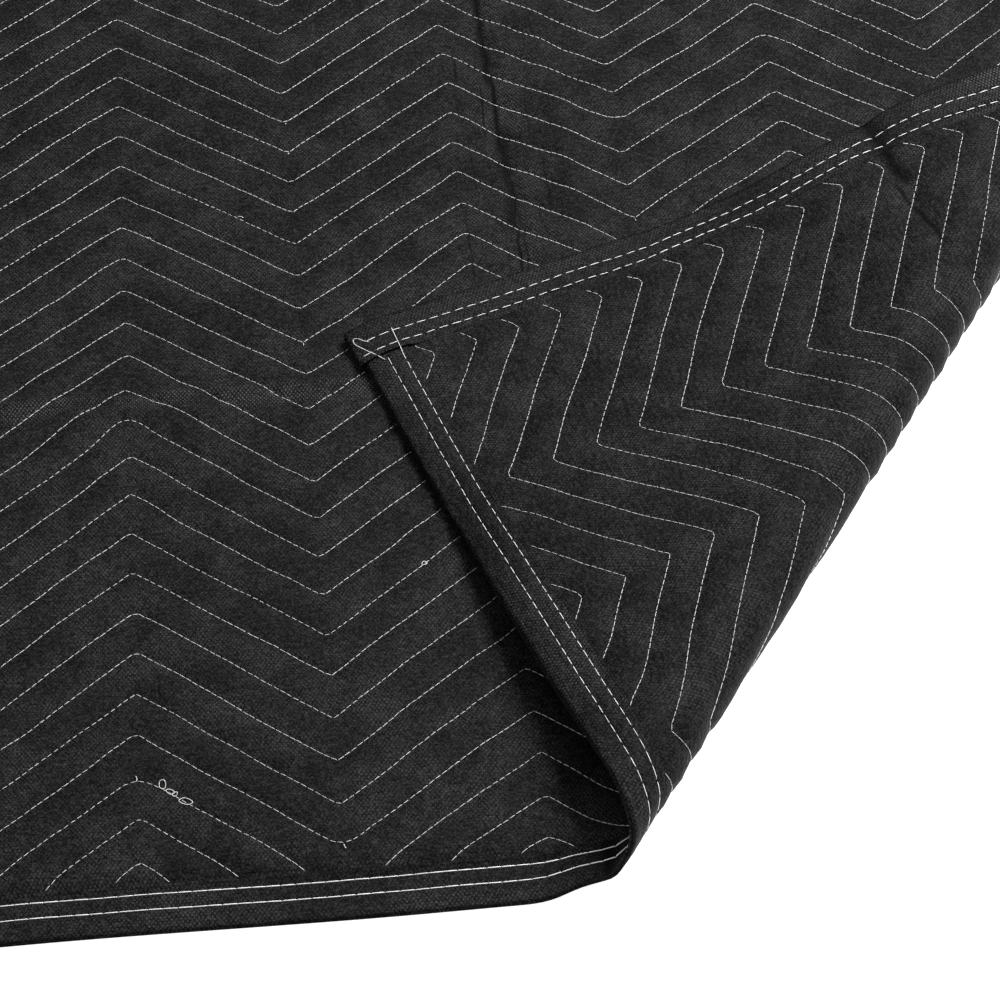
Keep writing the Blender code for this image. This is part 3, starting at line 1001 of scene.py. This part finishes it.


# %% [markdown]
# Cloth that was stored folded keeps fine sharp creases beside the main ones. They are narrower than
# the mesh, so their shade is painted: each is a wandering line of painted shade on the flat cloth
# with two ends, dark where the crease's narrow valley would lie in shade. A coarse noise breaks
# them up, and the last number of each says how whole it stays.

# %% Fine creases, drawn as painted shade
# each line of painted crease shade: its place, two ends, half width and wander in mm, then its
# depth, which is how dark it is painted, and its wholeness
CREASE_SHADES = {
    "v": (
        (1510, 725, 1800, 5.5, 3, 0.9, 0.95),
        (1512.5, 655, 755, 3.8, 3, 1.0, 1.0),
        (1514, 570, 690, 8.0, 4, 0.85, 0.9),
        (1516, 480, 640, 2.6, 4, 0.95, 0.95),
        (1521, 480, 590, 1.5, 5, 0.7, 0.6),
        (1222, 400, 421, 2.2, 1, 1.0, 1.0),
        (1507, 500, 580, 2.0, 4, 0.7, 0.6),
        (1485, 731, 777, 1.7, 2, 0.8, 0.8),
        (1502.5, 668, 739, 1.7, 2, 0.85, 0.9),
        (1489, 611, 670, 1.6, 2, 0.8, 0.8),
        (1478.5, 504, 605, 1.5, 3, 0.7, 0.7),
        (1536, 661, 716, 1.7, 3, 0.8, 0.7),
        (1543, 596, 655, 1.5, 2, 0.7, 0.7),
    ),
    "u": (
        (428, 1163, 1184, 1.2, 2, 0.8, 0.0),
        (425, 1218, 1236, 1.2, 2, 0.7, 0.0),
        (421, 1265, 1350, 1.2, 6, 0.45, 0.0),
        (417, 1955, 2060, 7.5, 5, 0.95, 0.9),
        (407, 1885, 1968, 4.0, 6, 0.95, 0.85),
    ),
}
CREASE_FADE = 12 * MM
WANDER_SIZE = 22.22 * MM
BREAK_SIZE = 18.18 * MM


def draw_crease_shade(tree, u, v):
    """The painted shade of all the fine creases together: 1 in the bottom of one, 0 away from them.
    """
    crease_shade = 0.0
    ways = {"v": (u, v), "u": (v, u)}
    broken = add_node(tree, "TexNoise", add_node(tree, "CombineXYZ", u, v), noise_dimensions="2D",
                      Scale=1 / BREAK_SIZE, Detail=1.0)
    broken = add_node(tree, "MapRange", broken, 0.42, 0.56, 0.15, 1.0)
    for way, rows in CREASE_SHADES.items():
        across, along = ways[way]
        bends = add_node(tree, "TexNoise", noise_dimensions="1D", Scale=1 / WANDER_SIZE, Detail=1.0,
                         W=along)
        for place, begin, finish, half, wander, depth, whole in rows:
            line = add_node(tree, "Math", bends, wander * MM, (place - wander / 2) * MM,
                            operation="MULTIPLY_ADD")
            off = add_node(tree, "Math", across, line, operation="SUBTRACT")
            off = add_node(tree, "Math", off, operation="ABSOLUTE")
            mark = add_node(tree, "MapRange", off, half * MM, 0.0, 0.0, depth,
                            interpolation_type="SMOOTHSTEP")
            middle = (begin + finish) / 2 * MM
            half_run = (finish - begin) / 2 * MM
            off = add_node(tree, "Math", along, middle, operation="SUBTRACT")
            off = add_node(tree, "Math", off, operation="ABSOLUTE")
            ends = add_node(tree, "MapRange", off, half_run, half_run - CREASE_FADE)
            mark = add_node(tree, "Math", mark, ends, operation="MULTIPLY")
            kept = add_node(tree, "Math", broken, whole, operation="MAXIMUM")
            mark = add_node(tree, "Math", mark, kept, operation="MULTIPLY")
            crease_shade = add_node(tree, "Math", mark, crease_shade, operation="MAXIMUM")
    return crease_shade


# %% Spunbond cloth
CLOTH_DARK = "#030303"
CLOTH_LIGHT = "#292929"
# the colour of the painted shade in the fine creases
CREASE_SHADE_COLOUR = "#020202"
GRAIN_SIZE = 1.613 * MM
CRINKLE_WIDE = 6.667 * MM
CRINKLE_LOW = 2.778 * MM
CRUMPLE_SIZE = 10.53 * MM
QUILT_PATCH = 29.41 * MM
TAPE_PATCH = 90.91 * MM


def spunbond(name, map_name, dot_sheen_colour, quilted):
    """Black spunbond cloth: mottled tone, welded dots with painted sheen, painted shade in the
    creases, fibre grain and small crumples.
    """
    material, tree, shader = new_material(name)
    room = add_node(tree, "TexCoord").node.outputs["Object"]
    u, v = place_on(tree, map_name)
    wide_u = add_node(tree, "Math", u, 1 / CRINKLE_WIDE, operation="MULTIPLY")
    low_v = add_node(tree, "Math", v, 1 / CRINKLE_LOW, operation="MULTIPLY")
    crinkle = add_node(tree, "TexNoise", add_node(tree, "CombineXYZ", wide_u, low_v),
                       noise_dimensions="2D", Scale=1.0, Detail=4.0, Roughness=0.65)
    grain = add_node(tree, "TexNoise", room, Scale=1 / GRAIN_SIZE, Detail=2.0, Roughness=0.8)
    patch = QUILT_PATCH if quilted else TAPE_PATCH
    patches = add_node(tree, "TexNoise", room, Scale=1 / patch, Detail=3.0, Roughness=0.6)
    tone = weigh(tree, [(grain, 1.4), (crinkle, 0.55), (patches, 0.3)])
    tone = add_node(tree, "MapRange", tone, 0.83, 1.45)
    tone = add_node(tree, "Math", tone, 2.0, operation="POWER")
    colour = add_node(tree, "Mix", tone, linear(CLOTH_DARK), linear(CLOTH_LIGHT),
                      data_type="RGBA")
    # Painted sheen: the weld dots are painted lighter in patches, along the strips where storage
    # pressing left a shine, and on the tapes towards their outer edge.
    seen = add_node(tree, "MapRange", patches, 0.44, 0.62, 0.08, 0.34)
    pressed_sheen = add_node(tree, "Attribute", attribute_name="pressed_sheen").node.outputs["Fac"]
    broken = add_node(tree, "MapRange", patches, 0.38, 0.54, 0.25, 0.95)
    strip = add_node(tree, "Math", pressed_sheen, broken, operation="MULTIPLY")
    if not quilted:
        inward = add_node(tree, "Math", v, LOWER_LEG, operation="MODULO")
        outer = add_node(tree, "MapRange", inward, 19 * MM, 10 * MM, 0.0, 1.0)
        wide = add_node(tree, "MapRange", pressed_sheen, 0.6, 1.0, 0.0, 0.8)
        outer = add_node(tree, "Math", outer, wide, operation="MAXIMUM")
        strip = add_node(tree, "Math", strip, outer, operation="MULTIPLY")
    seen = add_node(tree, "Math", strip, seen, operation="MAXIMUM")
    sheen_breakup = add_node(tree, "MapRange", grain, 0.4, 0.6, 0.45, 1.0)
    seen = add_node(tree, "Math", sheen_breakup, seen, operation="MULTIPLY")
    dots = add_node(tree, "Math", weld_dots(tree, u, v), seen, operation="MULTIPLY")
    colour = add_node(tree, "Mix", dots, colour, linear(dot_sheen_colour), data_type="RGBA")
    crumple = add_node(tree, "TexNoise", room, Scale=1 / CRUMPLE_SIZE, Detail=3.0, Roughness=0.6)
    # Painted shade: the fine creases are darkened where their narrow valleys would lie in shade.
    if quilted:
        crease_shade = draw_crease_shade(tree, u, v)
    else:
        crease_shade = add_node(tree, "Attribute", attribute_name="painted_crease_shade").node.outputs["Fac"]
    colour = add_node(tree, "Mix", crease_shade, colour, linear(CREASE_SHADE_COLOUR), data_type="RGBA")
    reliefs = [(grain, 0.4), (crinkle, 0.8), (crumple, 1.2), (dots, 0.2)]
    if quilted:
        reliefs.append((row_puckers(tree, u, v), 0.7))
    normal = add_node(tree, "Bump", Distance=MM, Height=weigh(tree, reliefs))
    tree.links.new(colour, shader.inputs["Base Color"])
    tree.links.new(normal, shader.inputs["Normal"])
    shader.inputs["Roughness"].default_value = 0.62
    shader.inputs["Specular IOR Level"].default_value = 0.04
    return material


def dress(pieces, material):
    """Give each piece this material and no other."""
    for piece in pieces:
        piece.data.materials.clear()
        piece.data.materials.append(material)
    print(material.name, "on", [piece.name for piece in pieces])


# The last colour is the painted sheen of the weld dots.
dress([quilt], spunbond("black_spunbond_quilt", "pad_place", "#4c4c4d", True))
dress(tapes, spunbond("black_spunbond_tape", "tape_place", "#565657", False))

# %% Polyester thread
SLUB_SIZE = 6.25 * MM
TWIST_SIZE = 0.4 * MM


def polyester(name, colour, shade):
    """White sewing thread: a soft sheen, slightly uneven along its length."""
    material, tree, shader = new_material(name)
    room = add_node(tree, "TexCoord").node.outputs["Object"]
    uneven = add_node(tree, "TexNoise", room, Scale=1 / SLUB_SIZE, Detail=2.0)
    tone = add_node(tree, "Mix", uneven, linear(shade), linear(colour), data_type="RGBA")
    twist = add_node(tree, "TexNoise", room, Scale=1 / TWIST_SIZE, Detail=1.0)
    ply = add_node(tree, "Bump", Strength=0.3, Distance=0.2 * MM, Height=twist)
    tree.links.new(tone, shader.inputs["Base Color"])
    tree.links.new(ply, shader.inputs["Normal"])
    shader.inputs["Roughness"].default_value = 0.5
    return material


dress([*zigzag_pieces, loose_threads], polyester("white_polyester_thread", "#d8d8d6", "#a4a4a2"))
dress(tape_threads, polyester("white_binding_thread", "#f0f0ee", "#c4c4c2"))

# %% [markdown]
# The pad and its tapes are sheets: the quilt is one cloth of 2032 by 1829 mm, folded at a corner.

# %% The cloth's cut size
print("cut size of the cloth", PAD_WIDTH, "by", PAD_DEPTH, "m")

# %% [markdown]
# The floor is a pale light table, as product photographers use, so it stays white right up to
# the pad. A soft lamp stands high on the right, so the flap throws a dark band on the cloth to
# its left. The sky of the studio is bright overhead and dim low down: black cloth must stay black.

# %% Floor and light
FLOOR_GLOW = 0.85

select()
bpy.ops.mesh.primitive_plane_add(size=30, location=(0, 0, -0.1 * MM))
floor = bpy.context.object
floor.name = "floor"
floor_material, floor_tree, floor_shader = new_material("white_paper_floor")
floor_shader.inputs["Base Color"].default_value = linear("#f4f4f4")
floor_shader.inputs["Roughness"].default_value = 0.9
floor_shader.inputs["Emission Color"].default_value = linear("#ffffff")
floor_shader.inputs["Emission Strength"].default_value = FLOOR_GLOW
floor.data.materials.append(floor_material)
key_light = bpy.data.lights.new("key", "AREA")
key_light.shape = "SQUARE"
key_light.size = 1.1
key_light.energy = 135
key = add_object("key", key_light)
key.location = (1.5, 0.1, 2.2)
key.rotation_euler = (Vector((0.45, -0.4, 0)) - key.location).to_track_quat("-Z", "Y").to_euler()
world = bpy.data.worlds.new("studio")
world.use_nodes = True
sky = world.node_tree
upward = add_node(sky, "SeparateXYZ", add_node(sky, "TexCoord")).node.outputs[2]
glow = add_node(sky, "MapRange", upward, 0.2, 0.95, 0.06, 1.0)
sky.links.new(glow, sky.nodes["Background"].inputs["Strength"])
sky.nodes["Background"].inputs["Color"].default_value = (1, 1, 1, 1)
bpy.context.scene.world = world
bpy.context.scene.view_settings.view_transform = "Standard"
print("lamp", round(key_light.size, 2), "m wide, at", [round(c, 2) for c in key.location], "m")

# %% [markdown]
# A photographer stands at the front and looks down with a long lens, so the far rows shrink only
# a little. The turn, the tilt and the distance were fitted to the rows of stitches, because their
# sizes are known.

# %% Camera
AZIMUTH = math.radians(5.948)
ELEVATION = math.radians(51.542)
DISTANCE = 1970.5 * MM
AIM = Vector((1476.9 * MM - PAD_WIDTH / 2, 321.9 * MM - PAD_DEPTH / 2, 0))
SENSOR = 36.0
PICTURE_FOCUS = 2845.7
PICTURE_WIDTH = 1000
look = Vector((math.sin(AZIMUTH) * math.cos(ELEVATION), math.cos(AZIMUTH) * math.cos(ELEVATION),
               -math.sin(ELEVATION)))
camera_data = bpy.data.cameras.new("camera")
camera_data.sensor_width = SENSOR
camera_data.lens = PICTURE_FOCUS * SENSOR / PICTURE_WIDTH
camera = add_object("camera", camera_data)
camera.location = AIM - DISTANCE * look
camera.rotation_euler = look.to_track_quat("-Z", "Y").to_euler()
bpy.context.scene.camera = camera
print("camera lens", round(camera_data.lens, 1), "mm,", round(DISTANCE, 4), "m away")
